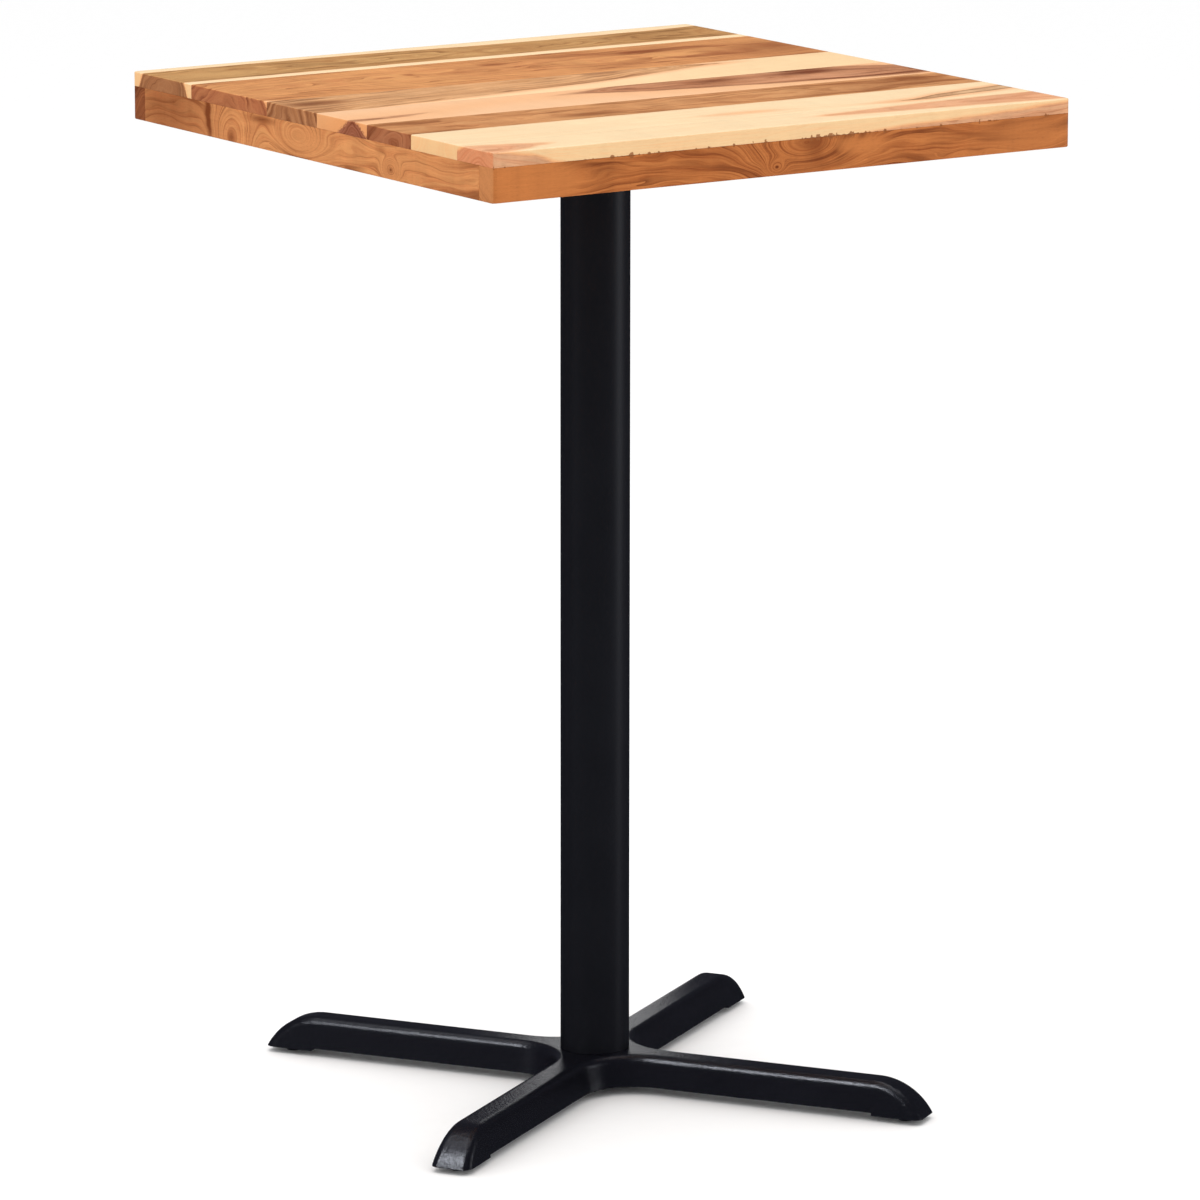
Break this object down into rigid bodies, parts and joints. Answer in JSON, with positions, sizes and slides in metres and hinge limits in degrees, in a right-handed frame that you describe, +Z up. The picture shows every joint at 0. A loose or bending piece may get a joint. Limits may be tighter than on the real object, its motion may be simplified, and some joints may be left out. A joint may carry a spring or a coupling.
{
  "type": "bistro table",
  "caption": "Bar-height bistro table: square stave top on a rail frame, round black column and cast cross base with screw-out levelling glides.",
  "frame": {"origin": "on the floor, under the centre of the column and of the top", "axes": "+Z up, +X along the staves and the front edge, -Y towards the front edge"},
  "size_m": [0.7, 0.7, 1.07],
  "materials": {
    "heartwood": "satin oil-lacquered hardwood, orange to olive brown with fine pores",
    "streaked_wood": "satin oil-lacquered hardwood, peach and cream with dark brown flame figure",
    "sapwood": "satin oil-lacquered hardwood, pale cream sapwood with peach streaks",
    "rail_wood": "satin oil-lacquered hardwood, orange brown with wavy darker grain",
    "batten_wood": "planed and left dull",
    "plate_paint": "black powder coat, fine texture",
    "tube_paint": "black powder coat, fine texture, satin",
    "casting_paint": "black powder coat with orange peel, semi-gloss",
    "zinc_steel": "bright zinc plate",
    "black_nylon": "moulded, matt"
  },
  "bodies": {
    "table": {"top_stave_1": "heartwood", "top_stave_2": "heartwood", "top_stave_3": "streaked_wood", "top_stave_4": "streaked_wood", "top_stave_5": "heartwood", "top_stave_6": "sapwood", "top_stave_7": "sapwood", "rail_front": "rail_wood", "rail_back": "rail_wood", "rail_left": "rail_wood", "rail_right": "rail_wood", "batten_left": "batten_wood", "batten_right": "batten_wood", "mounting_plate": "plate_paint", "plate_screws": "zinc_steel", "centring_ring": "plate_paint", "column_tube": "tube_paint", "tie_rod": "zinc_steel", "tie_rod_washer_top": "zinc_steel", "tie_rod_nut_top": "zinc_steel", "tie_rod_washer_bottom": "zinc_steel", "tie_rod_nut_bottom": "zinc_steel", "base_casting": "casting_paint"},
    "foot_right_back": {"glide_foot_right_back": "black_nylon"},
    "stud_right_back": {"glide_stud_right_back": "zinc_steel"},
    "foot_left_back": {"glide_foot_left_back": "black_nylon"},
    "stud_left_back": {"glide_stud_left_back": "zinc_steel"},
    "foot_left_front": {"glide_foot_left_front": "black_nylon"},
    "stud_left_front": {"glide_stud_left_front": "zinc_steel"},
    "foot_right_front": {"glide_foot_right_front": "black_nylon"},
    "stud_right_front": {"glide_stud_right_front": "zinc_steel"}
  },
  "joints": [
    {"name": "glide_right_back_travel", "type": "slide", "parent": "table", "child": "foot_right_back", "axis": [0, 0, -1], "range_m": [0, 0.01]},
    {"name": "glide_right_back_turn", "type": "hinge", "parent": "foot_right_back", "child": "stud_right_back", "pos_m": [0.2952, 0.19539, 0.006], "axis": [0, 0, -1], "range_deg": [0, 2880]},
    {"name": "glide_left_back_travel", "type": "slide", "parent": "table", "child": "foot_left_back", "axis": [0, 0, -1], "range_m": [0, 0.01]},
    {"name": "glide_left_back_turn", "type": "hinge", "parent": "foot_left_back", "child": "stud_left_back", "pos_m": [-0.19539, 0.2952, 0.006], "axis": [0, 0, -1], "range_deg": [0, 2880]},
    {"name": "glide_left_front_travel", "type": "slide", "parent": "table", "child": "foot_left_front", "axis": [0, 0, -1], "range_m": [0, 0.01]},
    {"name": "glide_left_front_turn", "type": "hinge", "parent": "foot_left_front", "child": "stud_left_front", "pos_m": [-0.2952, -0.19539, 0.006], "axis": [0, 0, -1], "range_deg": [0, 2880]},
    {"name": "glide_right_front_travel", "type": "slide", "parent": "table", "child": "foot_right_front", "axis": [0, 0, -1], "range_m": [0, 0.01]},
    {"name": "glide_right_front_turn", "type": "hinge", "parent": "foot_right_front", "child": "stud_right_front", "pos_m": [0.19539, -0.2952, 0.006], "axis": [0, 0, -1], "range_deg": [0, 2880]}
  ],
  "couplings": [
    {"joint": "glide_right_back_turn", "follows": "glide_right_back_travel", "rad_per_m": 5026.5},
    {"joint": "glide_left_back_turn", "follows": "glide_left_back_travel", "rad_per_m": 5026.5},
    {"joint": "glide_left_front_turn", "follows": "glide_left_front_travel", "rad_per_m": 5026.5},
    {"joint": "glide_right_front_turn", "follows": "glide_right_front_travel", "rad_per_m": 5026.5}
  ]
}
